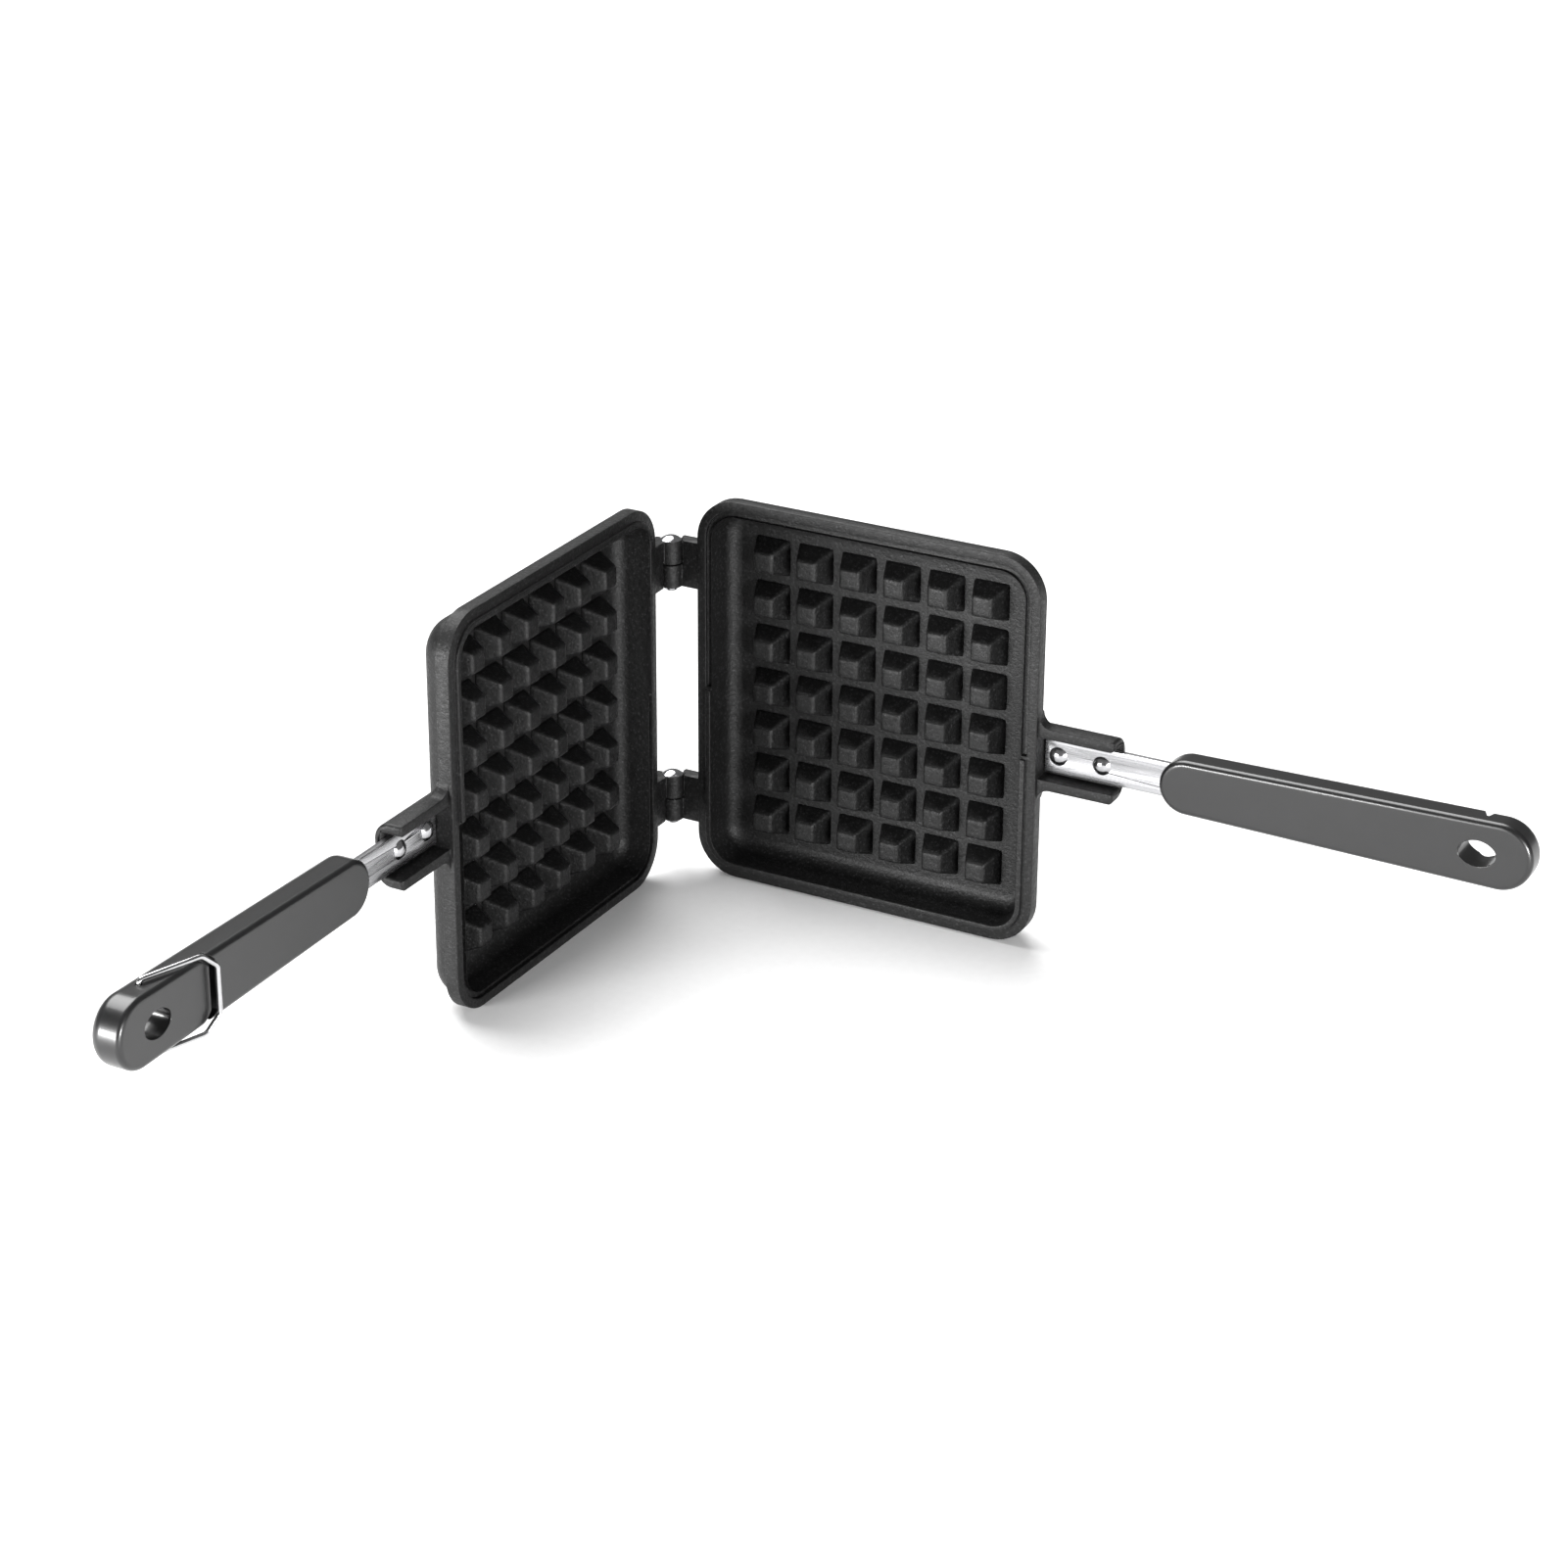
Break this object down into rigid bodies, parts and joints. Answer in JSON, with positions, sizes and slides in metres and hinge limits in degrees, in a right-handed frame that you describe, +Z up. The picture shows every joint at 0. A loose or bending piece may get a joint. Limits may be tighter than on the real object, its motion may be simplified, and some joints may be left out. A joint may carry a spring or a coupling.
{
  "type": "egg waffle pan",
  "caption": "Hinged stove-top waffle pan of two cast plates with square pegs, riveted steel straps, resin handles with hanging holes and a wire bail that latches them.",
  "frame": {"origin": "middle of the outline of the open pan, at the height of the lower edges of its plates", "axes": "+Z up along the hinge axis; the right half reaches along +X from the hinge with its open face towards -Y, and the left half reaches along -Y with its open face towards +X"},
  "size_m": [0.3546, 0.3546, 0.153],
  "materials": {
    "cast_non_stick": "satin non-stick coating on a cast plate",
    "bright_steel": "smooth bright steel strap",
    "rivet_steel": "polished rivets and pins",
    "black_resin": "glossy heat-proof moulded resin",
    "wire_steel": "plated round wire"
  },
  "bodies": {
    "left_half": {"left_plate": "cast_non_stick", "left_strap": "bright_steel", "left_inner_rivet": "rivet_steel", "left_outer_rivet": "rivet_steel", "left_handle": "black_resin", "upper_hinge_pin": "rivet_steel", "lower_hinge_pin": "rivet_steel"},
    "right_half": {"right_plate": "cast_non_stick", "right_strap": "bright_steel", "right_inner_rivet": "rivet_steel", "right_outer_rivet": "rivet_steel", "right_handle": "black_resin"},
    "bail": {"latch_bail": "wire_steel"}
  },
  "joints": [
    {"name": "plate_hinge", "type": "hinge", "parent": "left_half", "child": "right_half", "pos_m": [-0.16135, 0.16135, 0.0765], "axis": [0, 0, -1], "range_deg": [-90, 90]},
    {"name": "bail_swing", "type": "hinge", "parent": "left_half", "child": "bail", "pos_m": [-0.17035, -0.15735, 0.0765], "axis": [0, 0, -1], "range_deg": [-5.4, 326]}
  ]
}
